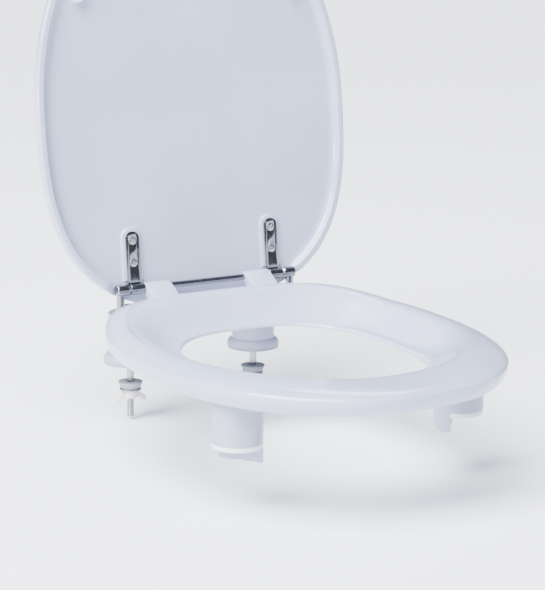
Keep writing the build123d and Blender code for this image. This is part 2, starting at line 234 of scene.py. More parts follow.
def mesh_object(name, points, faces, material):
    """A smooth-shaded mesh with its doubles merged and its faces turned outwards."""
    mesh = bpy.data.meshes.new(name)
    mesh.from_pydata(points, [], faces)
    work = bmesh.new()
    work.from_mesh(mesh)
    bmesh.ops.remove_doubles(work, verts=work.verts, dist=0.002 * MM)
    bmesh.ops.recalc_face_normals(work, faces=work.faces)
    work.to_mesh(mesh)
    work.free()
    mesh.polygons.foreach_set("use_smooth", [True] * len(mesh.polygons))
    mesh.materials.append(material)
    piece = bpy.data.objects.new(name, mesh)
    bpy.context.scene.collection.objects.link(piece)
    return piece


def loop_faces(rows, columns, close_rows=False):
    """Quads of a grid of points stored row by row; each row is a closed loop."""
    faces = []
    for r in range(rows if close_rows else rows - 1):
        for c in range(columns):
            n, m = (r + 1) % rows, (c + 1) % columns
            faces.append((r * columns + c, r * columns + m, n * columns + m, n * columns + c))
    return faces


seat_half_width = seat_high.x
seat_reach = hinge.y - seat_low.y
seat_widest = 206 * MM
seat_back_gap = 10 * MM
seat_front_power, seat_back_power, corner_power = 2.3, 2.6, 14
opening_half_width, opening_front, opening_back = 109 * MM, 144 * MM, 126 * MM
opening_widest = 209 * MM
opening_front_power, opening_back_power = 2.45, 2.9
underside = 49 * MM - hinge.z
crest = underside + 28 * MM
rear_rise, rise_length = 11.5 * MM, 130 * MM
crest_inset, crest_inset_front, crest_inset_back = 24 * MM, 54 * MM, 20 * MM
front_scoop = 4 * MM
dish_depth, dish_eased = 24 * MM, 11.5 * MM
widest_height = 17 * MM
inner_radius, under_radius, lower_edge = 3 * MM, 11.5 * MM, 0.9 * MM
round_steps = 180


def seat_outline(angle):
    """An oval whose back is cut straight, with rounded corners."""
    front = seat_reach - seat_widest
    distance = superellipse(angle, seat_half_width, front, seat_widest, seat_front_power, seat_back_power)
    along_back = -cos(radians(angle))
    if along_back <= 1e-6:
        return distance
    straight = (seat_widest - seat_back_gap) / along_back
    scale = min(distance, straight)
    total = (distance / scale) ** -corner_power + (straight / scale) ** -corner_power
    return scale * total ** (-1 / corner_power)


def opening_outline(angle):
    return superellipse(angle, opening_half_width, opening_front, opening_back,
                        opening_front_power, opening_back_power)


def rise(ahead):
    """The ring climbs towards its hinge."""
    return rear_rise * (1 - ease(min(max(ahead / rise_length, 0), 1)))


def crest_width(angle):
    """How far the crest lies in from the outline: most at the front, least at the back."""
    along = cos(radians(angle))
    end = crest_inset_front if along > 0 else crest_inset_back
    return crest_inset + (end - crest_inset) * along * along


def ring_profile(width, angle):
    """Points round a section: (distance from the opening, height), starting inside, at the bottom."""
    to_front = max(cos(radians(angle)), 0)
    top = crest - front_scoop * to_front ** 8
    inset = crest_width(angle)
    lip = crest - (dish_depth - dish_eased * to_front ** 2)
    widest = underside + widest_height
    quarter = quarter_turn(8)
    spots = [(lower_edge * (1 - sin(a)), underside + lower_edge * (1 - cos(a))) for a in quarter]
    spots += [(inner_radius * (1 - cos(a)), lip - inner_radius * (1 - sin(a))) for a in quarter]
    run = width - inset - inner_radius
    dish_steps = 12
    for share in [step / dish_steps for step in range(1, dish_steps)]:
        spots.append((inner_radius + run * share, lip + (top - lip) * ease(share)))
    spots += [(width - inset + inset * sin(a), widest + (top - widest) * cos(a)) for a in quarter_turn(14)]
    spots += [(width - under_radius * (1 - cos(a)), widest - widest_height * sin(a)) for a in quarter[1:]]
    flat, flat_steps = width - under_radius - lower_edge, 6
    spots += [(width - under_radius - flat * i / flat_steps, underside) for i in range(1, flat_steps)]
    return spots


def seat_ring_piece():
    """Sections from the rim of the opening to the outline, all the way round."""
    points = []
    for step in range(round_steps):
        angle = step * 360 / round_steps
        inner = plan_point(opening_outline(angle), angle, opening_widest)
        outer = plan_point(seat_outline(angle), angle, seat_widest)
        width = (outer - inner).length
        across = (outer - inner) / width
        for offset, height in ring_profile(width, angle):
            spot = inner + across * offset
            points.append(hinge + Vector((spot.x, spot.y, height + rise(-spot.y))))
    columns = len(points) // round_steps
    return mesh_object("seat_ring_moulding", points, loop_faces(round_steps, columns, True), thermoset)


ring_piece = seat_ring_piece()
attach(ring_piece, "seat")
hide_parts("seat_ring")


# ---- Hinge lugs of the seat -------------------------------------------------------------
# Two lugs let into the back of the ring reach out to the hinge rod and end in a round eye.
# They are moulded from the same thermoset, so that the joint hardly shows.
def apply_modifiers(piece):
    """Keeps the evaluated mesh in place of the modifiers."""
    evaluated = piece.evaluated_get(bpy.context.evaluated_depsgraph_get())
    mesh = bpy.data.meshes.new_from_object(evaluated)
    piece.modifiers.clear()
    old = piece.data
    piece.data = mesh
    bpy.data.meshes.remove(old)
    mesh.name = piece.name
    mesh.polygons.foreach_set("use_smooth", [True] * len(mesh.polygons))


def round_edges(piece, width, segments=3, angle=25):
    """Bevels the sharp edges of a piece and applies it."""
    tool = piece.modifiers.new("edges", "BEVEL")
    tool.width = width
    tool.segments = segments
    tool.limit_method = "ANGLE"
    tool.angle_limit = radians(angle)
    tool.harden_normals = False
    apply_modifiers(piece)


def prism(name, near, far, material):
    """A closed solid between two outlines with the same number of points."""
    count = len(near)
    faces = [tuple(range(count)), tuple(range(2 * count - 1, count - 1, -1))]
    faces += [(i, count + i, count + (i + 1) % count, (i + 1) % count) for i in range(count)]
    return mesh_object(name, near + far, faces, material)


def extruded(name, outline, low, high, material, bevel, segments=3):
    """A bar along X whose section is an outline in the Y-Z plane, with rounded edges."""
    near, far = [[Vector((x, y, z)) for y, z in outline] for x in (low, high)]
    piece = prism(name, near, far, material)
    round_edges(piece, bevel, segments)
    return piece


def join_pieces(name, pieces):
    """Joins finished meshes of one material into one piece."""
    work = bmesh.new()
    for piece in pieces:
        work.from_mesh(piece.data)
    mesh = bpy.data.meshes.new(name)
    work.to_mesh(mesh)
    work.free()
    mesh.materials.append(pieces[0].data.materials[0])
    joined = bpy.data.objects.new(name, mesh)
    bpy.context.scene.collection.objects.link(joined)
    for piece in pieces:
        bpy.data.objects.remove(piece)
    return joined


barrel_radius = 6 * MM


def knuckle_piece(side):
    """An eye round the rod and a tongue that goes into the back of the ring."""
    bush_low, bush_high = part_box(f"seat_bush_{side}")
    top = crest + rear_rise
    arc = [radians(100 - 12 * i) for i in range(16)]
    outline = [(barrel_radius * cos(a), barrel_radius * sin(a)) for a in arc]
    tongue = [(-14, -13), (-29, -12), (-29, -6), (-20, -2), (-11, 3.2)]
    outline += [(y * MM, top + z * MM) for y, z in tongue]
    outline = [(hinge.y + y, hinge.z + z) for y, z in outline]
    return extruded(f"seat_knuckle_{side}", outline, bush_low.x, bush_high.x, thermoset, 1.2 * MM)


for side in sides:
    knuckle = knuckle_piece(side)
    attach(knuckle, "seat")
    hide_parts(f"seat_lug_{side}")


# ---- Lid --------------------------------------------------------------------------------
# The lid is a shallow pan of the same thermoset, a little larger than the seat.  It stands
# open, leaning back, and its lip is broken at the back to let the hinge through.
lean = radians(7.7)
lid_half_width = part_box("lid")[1].x
lid_widest = 191 * MM
lid_front = 447 * MM - lid_widest
lid_back = lid_widest + 24 * MM
lid_front_power, lid_back_power = 2.0, 2.8
lip_level, panel_level, outside_level = -1 * MM, 7 * MM, 14 * MM
hinge_break_half_width, hinge_break_reach = 113 * MM, 14 * MM


def on_lid(x, ahead, level):
    """A point of the open lid, from its place across, along and through the level lid."""
    y = ahead * sin(lean) + level * cos(lean)
    z = ahead * cos(lean) - level * sin(lean)
    return hinge + Vector((x, y, z))


def lid_outline(angle):
    return superellipse(angle, lid_half_width, lid_front, lid_back, lid_front_power, lid_back_power)


def lid_profile():
    """(inset, level) from the middle of the outside, round the edge, to the middle of the pan."""
    quarter = quarter_turn(8)
    edge, lip, foot, hollow = 8 * MM, 3 * MM, 2 * MM, 9 * MM
    start = 17.5 * MM - hollow
    hollow_low = lip_level + 1 * MM
    spots = [(inset * MM, outside_level) for inset in (150, 120, 90, 60, 40, 25, 15)]
    spots += [(edge * (1 - sin(a)), outside_level - edge * (1 - cos(a))) for a in quarter]
    spots += [(lip * (1 - cos(a)), lip_level + lip * (1 - sin(a))) for a in quarter]
    spots += [(start - foot + foot * sin(a), lip_level + foot * (1 - cos(a))) for a in quarter[:5]]
    spots += [(start + hollow * (1 - cos(a)), hollow_low + (panel_level - hollow_low) * sin(a))
              for a in quarter[1:]]
    spots += [(inset * MM, panel_level) for inset in (22, 30, 45, 70, 100, 130, 150)]
    return spots


def lid_piece():
    """Rings of points that follow the outline, closed by a flat middle on each face."""
    near_edge = 60 * MM
    points = []
    profile = lid_profile()
    for inset, level in profile:
        for step in range(round_steps):
            angle = step * 360 / round_steps
            distance = lid_outline(angle)
            shrunk = distance * (1 - inset / lid_half_width)
            spot = plan_point(shrunk if inset > near_edge else distance - inset, angle, lid_widest)
            in_break = -spot.y < hinge_break_reach and abs(spot.x) < hinge_break_half_width
            height = panel_level - 0.2 * MM if level < panel_level and in_break else level
            points.append(on_lid(spot.x, -spot.y, height))
    faces = loop_faces(len(profile), round_steps)
    last = (len(profile) - 1) * round_steps
    faces.append(tuple(range(round_steps)))
    faces.append(tuple(range(last, last + round_steps)))
    return mesh_object("lid_moulding", points, faces, thermoset)


lid = lid_piece()
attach(lid, "lid")
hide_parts("lid")


# ---- Strap pads on the lid --------------------------------------------------------------
# A packing pad lies between each strap and the pan, with a soft cove round its foot, so
# that the strap sits level and its screws have enough depth to bite.
def pad_outline(half_width, start, end, steps=10):
    """Rounded at its far end, square at the hinge end: (across, ahead) points."""
    corner = quarter_turn(steps)
    far_radius, near_radius = half_width * 0.92, 2 * MM
    far = [(half_width - far_radius + far_radius * cos(a), end - far_radius + far_radius * sin(a))
           for a in corner]
    near = [(half_width - near_radius + near_radius * cos(a), start + near_radius - near_radius * sin(a))
            for a in reversed(corner)]
    half = near + far
    return half + [(-x, y) for x, y in reversed(half)]


def strap_pad(side, centre):
    """Outlines stacked from the foot of the cove, which spreads, to the rounded top."""
    half_width, start, end = 11, 9, 65
    cove = [(4.0, 7.3), (3.2, 7.0), (2.2, 6.85), (1.3, 6.5), (0.8, 6.0), (0.55, 5.7)]
    top = [(0.2, 5.4), (-0.4, 5.3)]
    rows = cove + top
    points = []
    for grow, level in rows:
        outline = pad_outline((half_width + grow) * MM, (start - grow) * MM, (end + grow) * MM)
        points += [on_lid(centre + x, ahead, level * MM) for x, ahead in outline]
    count = len(outline)
    faces = loop_faces(len(rows), count)
    last = (len(rows) - 1) * count
    faces += [tuple(range(count)), tuple(range(last, last + count))]
    pad = mesh_object(f"lid_strap_pad_{side}", points, faces, thermoset)
    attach(pad, "lid")
    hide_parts(f"arm_pad_{side}")


arm_centres = {}
for side in sides:
    bush_low, bush_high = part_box(f"lid_bush_{side}")
    arm_centres[side] = (bush_low.x + bush_high.x) / 2
    strap_pad(side, arm_centres[side])


# ---- Lid arms ---------------------------------------------------------------------------
# Each arm is a stainless strap, rolled at its foot into a barrel for the hinge rod, with a
# rounded top and two countersunk holes.  Tumble-polished, so it mirrors the room softly.
def stainless_material():
    """Polished stainless: neutral mirror, faint lengthwise polishing lines, smudged gloss."""
    material, tree, output = new_material("stainless_steel_polished")
    where = {"Vector": add_node(tree, "ShaderNodeTexCoord").outputs["Object"]}
    stretch = add_node(tree, "ShaderNodeMapping", {"Scale": (2600, 160, 160)}, where)
    lines = add_node(tree, "ShaderNodeTexNoise", {"Scale": 1.0, "Detail": 2.0},
                     {"Vector": stretch.outputs[0]})
    smudge = add_node(tree, "ShaderNodeTexNoise", {"Scale": 160.0, "Detail": 4.0}, where)
    mix = add_node(tree, "ShaderNodeMath", {1: 0.5}, {0: lines.outputs[0], 2: smudge.outputs[0]},
                   operation="MULTIPLY_ADD")
    gloss = add_node(tree, "ShaderNodeMapRange", {1: 0.4, 2: 1.1, 3: 0.1, 4: 0.3}, {0: mix.outputs[0]})
    # The tint is darker than real steel, for the same lights.
    tint = add_node(tree, "ShaderNodeValToRGB", links={0: smudge.outputs[0]})
    tint.color_ramp.elements[0].color = srgb("7C7E84")
    tint.color_ramp.elements[1].color = srgb("96989E")
    bump = add_node(tree, "ShaderNodeBump", {"Strength": 0.15, "Distance": 0.02 * MM},
                    {"Height": lines.outputs[0]})
    shader = add_node(tree, "ShaderNodeBsdfPrincipled", {"Metallic": 1.0},
                      {"Base Color": tint.outputs[0], "Roughness": gloss.outputs[0],
                       "Normal": bump.outputs[0]})
    tree.links.new(shader.outputs[0], output.inputs[0])
    return material


stainless = stainless_material()


def turned(name, profile, centre, axis, material, steps=72):
    """A lathe piece: (radius, height) points up its axis, closed at both ends or into a ring."""
    turn = Z_AXIS.rotation_difference(axis).to_matrix()
    points = []
    for radius, height in profile:
        for step in range(steps):
            a = 2 * pi * step / steps
            points.append(centre + turn @ Vector((radius * cos(a), radius * sin(a), height)))
    is_ring = profile[0][0] > 1e-7
    return mesh_object(name, points, loop_faces(len(profile), steps, is_ring), material)


def rounded(points, radius, steps=4):
    """Rounds the inner corners of an open (radius, height) profile by a set amount."""
    out = [points[0]]
    for before, here, after in zip(points, points[1:], points[2:]):
        a, b, c = Vector(before), Vector(here), Vector(after)
        reach = min(radius, (a - b).length * 0.49, (c - b).length * 0.49)
        start = b + (a - b).normalized() * reach
        end = b + (c - b).normalized() * reach
        for step in range(steps + 1):
            t = step / steps
            spot = start * (1 - t) ** 2 + b * 2 * t * (1 - t) + end * t * t
            out.append((spot.x, spot.y))
    out.append(points[-1])
    return out


def disc_profile(low, high, radius):
    """Section of a plain solid disc or rod."""
    return [(0, low), (radius, low), (radius, high), (0, high)]


def tube_profile(low, high, radius, bore, edge, taper=0.0):
    """Section of a tube with rounded corners: starts and ends half way up the bore."""
    middle = (low + high) / 2
    loop = [(bore, middle), (bore, low), (radius - taper, low), (radius, high), (bore, high), (bore, middle)]
    return rounded(loop, edge)[:-1]


def barrel(name, low, high, radius, bore, material, edge=0.5 * MM):
    """A tube along the hinge axis."""
    centre = Vector((low, hinge.y, hinge.z))
    return turned(name, tube_profile(0, high - low, radius, bore, edge), centre, X_AXIS, material, 64)


def cut_away(piece, tool, operation="DIFFERENCE"):
    """Boolean of two meshes; the tool is thrown away."""
    step = piece.modifiers.new("cut", "BOOLEAN")
    step.object = tool
    step.solver = "EXACT"
    step.operation = operation
    apply_modifiers(piece)
    bpy.data.objects.remove(tool)


def lid_matrix():
    """Level lid (x, -ahead, level) to its open place."""
    x, y, z = on_lid(1, 0, 0) - hinge, on_lid(0, -1, 0) - hinge, on_lid(0, 0, 1) - hinge
    turn = Matrix((x, y, z)).transposed().to_4x4()
    return Matrix.Translation(hinge) @ turn


strap_thickness = 2.2 * MM
strap_half_width, strap_start, strap_end = 8 * MM, 1 * MM, 62 * MM
strap_face = 4.2 * MM - strap_thickness / 2
screw_places = (28 * MM, 52 * MM)
barrel_bore = 4.62 * MM


def countersink(centre, ahead):
    """A cutter for one screw hole, wide at the open face of the strap."""
    mouth, hole, overrun = 4.75 * MM, 2.1 * MM, 0.2 * MM
    cone = [(0, -overrun), (mouth, -overrun), (mouth, 0), (hole, strap_thickness * 0.9),
            (hole, strap_thickness + overrun), (0, strap_thickness + overrun)]
    return turned("countersink", cone, Vector((centre, -ahead, strap_face)), Z_AXIS, stainless, 40)


def lid_arm(side, centre):
    """The strap is made level, drilled and rounded, then laid on the open lid."""
    outline = pad_outline(strap_half_width, strap_start, strap_end, 14)
    near, far = [[Vector((centre + x, -ahead, strap_face + lift)) for x, ahead in outline]
                 for lift in (0, strap_thickness)]
    strap = prism(f"lid_strap_{side}", near, far, stainless)
    for ahead in screw_places:
        cut_away(strap, countersink(centre, ahead))
    round_edges(strap, 0.35 * MM, 2, 40)
    strap.data.transform(lid_matrix())
    low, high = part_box(f"lid_bush_{side}")
    roll = barrel(f"lid_barrel_{side}", low.x, high.x, barrel_radius, barrel_bore, stainless)
    arm = join_pieces(f"lid_strap_and_barrel_{side}", [strap, roll])
    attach(arm, "lid")
    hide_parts(f"lid_arm_{side}")


for side in sides:
    lid_arm(side, arm_centres[side])


# ---- Arm screws -------------------------------------------------------------------------
# Two countersunk cross-recess screws hold each strap.  One head is shaped once and a node
# tree sets it along the strap at the spacing of the holes.
def screw_material():
    """Cold-headed zinc-plated steel: bright but slightly cloudy."""
    material, tree, output = new_material("zinc_plated_steel_cold_headed")
    where = {"Vector": add_node(tree, "ShaderNodeTexCoord").outputs["Object"]}
    cloud = add_node(tree, "ShaderNodeTexNoise", {"Scale": 420.0, "Detail": 4.0}, where)
    tint = add_node(tree, "ShaderNodeValToRGB", links={0: cloud.outputs[0]})
    tint.color_ramp.elements[0].color = srgb("8F9194")
    tint.color_ramp.elements[1].color = srgb("B9BABC")
    gloss = add_node(tree, "ShaderNodeMapRange", {1: 0.3, 2: 0.7, 3: 0.2, 4: 0.4}, {0: cloud.outputs[0]})
    bump = add_node(tree, "ShaderNodeBump", {"Strength": 0.2, "Distance": 0.02 * MM},
                    {"Height": cloud.outputs[0]})
    shader = add_node(tree, "ShaderNodeBsdfPrincipled", {"Metallic": 1.0},
                      {"Base Color": tint.outputs[0], "Roughness": gloss.outputs[0],
                       "Normal": bump.outputs[0]})
    tree.links.new(shader.outputs[0], output.inputs[0])
    return material


screw_steel = screw_material()


def cross_recess(screw, place, reach, mouth, floor, depth, first_turn):
    """Cuts two crossed slots, narrower at their floor, into a screw head."""
    section = [(-mouth, -1 * MM), (mouth, -1 * MM), (floor, depth), (-floor, depth)]
    for turn in (first_turn, first_turn + 90):
        slot = extruded("slot", section, -reach, reach, screw_steel, 0.05 * MM, 1)
        slot.data.transform(place @ Matrix.Rotation(radians(turn), 4, "Z"))
        cut_away(screw, slot)


def screw_head():
    """A countersunk screw with its head at the origin, pointing up into the lid."""
    head = [(0, -0.25), (2.5, -0.2), (4.1, 0.0), (4.45, 0.15), (4.4, 0.4)]
    profile = [(radius * MM, height * MM) for radius, height in head]
    profile += [(2.0 * MM, strap_thickness), (2.0 * MM, 7 * MM), (1.2 * MM, 8 * MM), (0, 8.2 * MM)]
    screw = turned("screw_master", profile, ORIGIN, Z_AXIS, screw_steel, 40)
    cross_recess(screw, Matrix.Identity(4), 2.5 * MM, 0.55 * MM, 0.35 * MM, 1.3 * MM, 20)
    return screw


def node_tree_for(name, sizes):
    """An empty geometry tree with named size inputs."""
    tree = bpy.data.node_groups.new(name, "GeometryNodeTree")
    tree.interface.new_socket("Geometry", in_out="INPUT", socket_type="NodeSocketGeometry")
    for label, kind, value in sizes:
        socket = tree.interface.new_socket(label, in_out="INPUT", socket_type=kind)
        socket.default_value = value
    tree.interface.new_socket("Geometry", in_out="OUTPUT", socket_type="NodeSocketGeometry")
    return tree, tree.nodes.new("NodeGroupInput"), tree.nodes.new("NodeGroupOutput")


def finish_tree(tree, source, material, result):
    """Ends a tree in realised instances with their material."""
    solid = add_node(tree, "GeometryNodeRealizeInstances", links={0: source})
    paint = add_node(tree, "GeometryNodeSetMaterial", {"Material": material}, {"Geometry": solid.outputs[0]})
    tree.links.new(paint.outputs[0], result.inputs[0])


def run_tree(name, tree, values, material, place):
    """Runs a geometry tree on an empty mesh and keeps its result as a plain mesh, in its place."""
    piece = bpy.data.objects.new(name, bpy.data.meshes.new(name))
    bpy.context.scene.collection.objects.link(piece)
    tool = piece.modifiers.new("repeat", "NODES")
    tool.node_group = tree
    for item in tree.interface.items_tree:
        if item.in_out == "INPUT" and item.name in values:
            tool[item.identifier] = values[item.name]
    apply_modifiers(piece)
    piece.data.transform(place)
    piece.data.materials.clear()
    piece.data.materials.append(material)
    return piece


screw_spacing = screw_places[1] - screw_places[0]


def screw_row_tree(master):
    """A row of screws down the strap: their count and spacing are its inputs."""
    sizes = [("Count", "NodeSocketInt", len(screw_places)), ("Spacing", "NodeSocketFloat", screw_spacing)]
    tree, given, result = node_tree_for("row_of_screws", sizes)
    down = add_node(tree, "ShaderNodeMath", {1: -1.0}, {0: given.outputs["Spacing"]}, operation="MULTIPLY")
    step = add_node(tree, "ShaderNodeCombineXYZ", links={1: down.outputs[0]})
    row = add_node(tree, "GeometryNodeMeshLine",
                   links={"Count": given.outputs["Count"], "Offset": step.outputs[0]})
    head = add_node(tree, "GeometryNodeObjectInfo", {"Object": master})
    copies = add_node(tree, "GeometryNodeInstanceOnPoints",
                      links={"Points": row.outputs[0], "Instance": head.outputs["Geometry"]})
    finish_tree(tree, copies.outputs[0], screw_steel, result)
    return tree


master = screw_head()
screw_tree = screw_row_tree(master)
for side in sides:
    place = lid_matrix() @ Matrix.Translation((arm_centres[side], -screw_places[0], strap_face))
    values = {"Count": len(screw_places), "Spacing": screw_spacing}
    screws = run_tree(f"strap_screws_{side}", screw_tree, values, screw_steel, place)
    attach(screws, "lid")
    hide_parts(f"lid_arm_screws_{side}")
bpy.data.objects.remove(master)


# ---- Hinge rod --------------------------------------------------------------------------
# A plain polished rod, chamfered at its ends, runs through every barrel and eye.
def hinge_rod():
    low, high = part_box("hinge_rod")
    profile = rounded(disc_profile(0, high.x - low.x, 3.5 * MM), 0.6 * MM)
    centre = Vector((low.x, hinge.y, hinge.z))
    rod = turned("polished_hinge_rod", profile, centre, X_AXIS, stainless, 48)
    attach(rod, "mounting")
    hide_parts("hinge_rod")


hinge_rod()


# ---- Hinge pillars ----------------------------------------------------------------------
# The outer barrels belong to the pillars: round stems that rise from a plate under the
# bolt head, stand still and hold the ends of the rod.
bolt_offset, stem_offset = 77.5 * MM, 105 * MM
head_start, head_end, head_bore = 94.4 * MM, 110 * MM, 3.52 * MM
plate_thickness, plate_bolt_radius, plate_stem_radius, bolt_hole = 3 * MM, 14 * MM, 7 * MM, 4.4 * MM


def pillar_head(sign):
    """The barrel at the top: bored from its inner end, domed at its outer end."""
    length = head_end - head_start
    profile = rounded([(head_bore, length * 0.5), (head_bore, 0), (barrel_radius, 0)], 0.4 * MM)
    profile += rounded([(barrel_radius, length * 0.3), (barrel_radius, length), (0, length)], 1.6 * MM, 8)
    centre = Vector((sign * head_start, hinge.y, hinge.z))
    return turned("pillar_head", profile, centre, X_AXIS * sign, stainless, 64)


def pillar_stem(sign, bottom):
    """A round stem with a small foot and a collar under the barrel."""
    height = hinge.z - bottom
    stem, collar = 4.3 * MM, 4.5 * MM
    profile = [(0, 0), (5.4 * MM, 0), (4.6 * MM, 0.8 * MM), (stem, 2.2 * MM), (stem, height - barrel_radius),
               (collar, height - 4.5 * MM), (stem, height - 1 * MM), (0, height)]
    centre = Vector((sign * stem_offset, hinge.y, bottom))
    return turned("pillar_stem", profile, centre, Z_AXIS, stainless, 48)


def pillar_plate(sign, bottom, top):
    """A pear-shaped plate from the bolt to the stem, drilled for the bolt."""
    stem_end = Vector((sign * stem_offset, hinge.y))
    bolt_end = Vector((sign * bolt_offset, 0))
    along = bolt_end - stem_end
    heading = along.normalized()
    across = Vector((-heading.y, heading.x))
    half = radians(90) + (plate_bolt_radius - plate_stem_radius) / along.length
    arcs = ((bolt_end, plate_bolt_radius, -half, half), (stem_end, plate_stem_radius, half, 2 * pi - half))
    steps = 24
    outline = []
    for centre, radius, start, end in arcs:
        for a in [start + (end - start) * step / steps for step in range(steps + 1)]:
            outline.append(centre + heading * (radius * cos(a)) + across * (radius * sin(a)))
    near, far = [[Vector((spot.x, spot.y, z)) for spot in outline] for z in (bottom, top)]
    plate = prism("pillar_plate", near, far, stainless)
    overrun = 1 * MM
    hole = disc_profile(-overrun, plate_thickness + overrun, bolt_hole)
    cut_away(plate, turned("hole", hole, Vector((bolt_end.x, 0, bottom)), Z_AXIS, stainless, 48))
    round_edges(plate, 0.4 * MM, 2, 40)
    return plate


def pillar(side, sign):
    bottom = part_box(f"hinge_pillar_{side}")[0].z
    top = bottom + plate_thickness
    whole = join_pieces(f"steel_pillar_{side}", [pillar_head(sign), pillar_stem(sign, top),
                                                pillar_plate(sign, bottom, top)])
    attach(whole, "mounting")
    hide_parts(f"hinge_pillar_{side}")


# ---- Hinge bushes and grub screws -------------------------------------------------------
# Nylon bushes line the barrels and the eyes, so that they turn quietly on the rod.  A grub
# screw in each pillar head locks the rod.
def nylon_material():
    """Moulded nylon: milky, satin, with a little light passing into its edges."""
    material, tree, output = new_material("nylon_moulded_natural")
    where = {"Vector": add_node(tree, "ShaderNodeTexCoord").outputs["Object"]}
    grain = add_node(tree, "ShaderNodeTexNoise", {"Scale": 600.0, "Detail": 3.0}, where)
    tint = add_node(tree, "ShaderNodeValToRGB", links={0: grain.outputs[0]})
    tint.color_ramp.elements[0].color = srgb("DAD9D2")
    tint.color_ramp.elements[1].color = srgb("E6E5E0")
    gloss = add_node(tree, "ShaderNodeMapRange", {1: 0.3, 2: 0.7, 3: 0.38, 4: 0.52}, {0: grain.outputs[0]})
    bump = add_node(tree, "ShaderNodeBump", {"Strength": 0.2, "Distance": 0.03 * MM},
                    {"Height": grain.outputs[0]})
    shader = add_node(tree, "ShaderNodeBsdfPrincipled",
                      {"IOR": 1.53, "Subsurface Weight": 0.15, "Subsurface Scale": 2 * MM},
                      {"Base Color": tint.outputs[0], "Roughness": gloss.outputs[0],
                       "Normal": bump.outputs[0]})
    tree.links.new(shader.outputs[0], output.inputs[0])
    return material


nylon = nylon_material()
bush_radius, bush_bore = 4.6 * MM, 3.55 * MM
for side, sign in sides.items():
    pillar(side, sign)
    for body in ("seat", "lid"):
        low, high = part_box(f"{body}_bush_{side}")
        bush = barrel(f"{body}_nylon_bush_{side}", low.x, high.x, bush_radius, bush_bore, nylon, 0.2 * MM)
        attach(bush, body)
        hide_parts(f"{body}_bush_{side}")
    low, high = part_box(f"pillar_screw_{side}")
    middle = (low + high) / 2
    length = high.y - low.y
    profile = [(0, 0), (1.3 * MM, 0), (1.5 * MM, 0.2 * MM), (1.5 * MM, length), (0, length)]
    start = Vector((middle.x, low.y, middle.z))
    grub = turned(f"rod_grub_screw_{side}", profile, start, Y_AXIS, screw_steel, 24)
    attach(grub, "mounting")
    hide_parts(f"pillar_screw_{side}")


# ---- Lid buffers ------------------------------------------------------------------------
# Soft round domes pushed into the pan.  They land on the crest of the seat ring.
def soft_material():
    """Moulded thermoplastic rubber, natural white: waxy, slightly see-through, dusty gloss."""
    material, tree, output = new_material("soft_rubber_moulded_white")
    where = {"Vector": add_node(tree, "ShaderNodeTexCoord").outputs["Object"]}
    dust = add_node(tree, "ShaderNodeTexNoise", {"Scale": 260.0, "Detail": 5.0}, where)
    tint = add_node(tree, "ShaderNodeValToRGB", links={0: dust.outputs[0]})
    tint.color_ramp.elements[0].color = srgb("D3D7DE")
    tint.color_ramp.elements[1].color = srgb("E7EAEF")
    gloss = add_node(tree, "ShaderNodeMapRange", {1: 0.3, 2: 0.7, 3: 0.3, 4: 0.5}, {0: dust.outputs[0]})
    bump = add_node(tree, "ShaderNodeBump", {"Strength": 0.15, "Distance": 0.04 * MM},
                    {"Height": dust.outputs[0]})
    shader = add_node(tree, "ShaderNodeBsdfPrincipled",
                      {"IOR": 1.5, "Subsurface Weight": 0.4, "Subsurface Scale": 4 * MM},
                      {"Base Color": tint.outputs[0], "Roughness": gloss.outputs[0],
                       "Normal": bump.outputs[0]})
    tree.links.new(shader.outputs[0], output.inputs[0])
    return material


soft_white = soft_material()


def lid_buffer(side, sign):
    """A dome over the crest of the ring when the lid is down, with a peg into the pan."""
    radius, height, bulge = 7.5 * MM, 13.08 * MM, 0.8
    peg_radius, peg_length = 3 * MM, 2.8 * MM
    profile = [(radius * sin(a), radius * bulge * (1 - cos(a))) for a in quarter_turn(12)]
    profile += [(radius, height - 1 * MM), (radius + 0.5 * MM, height - 0.3 * MM),
                (radius + 0.6 * MM, height), (peg_radius, height),
                (peg_radius, height + peg_length), (0, height + peg_length)]
    angle = 50
    distance = seat_outline(angle) - crest_width(angle)
    spot = plan_point(distance, sign * angle, seat_widest)
    centre = Vector((spot.x, spot.y, panel_level - height))
    dome = turned(f"lid_dome_buffer_{side}", profile, centre, Z_AXIS, soft_white, 56)
    dome.data.transform(lid_matrix())
    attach(dome, "lid")
    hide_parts(f"lid_buffer_{side}")


for side, sign in sides.items():
    lid_buffer(side, sign)


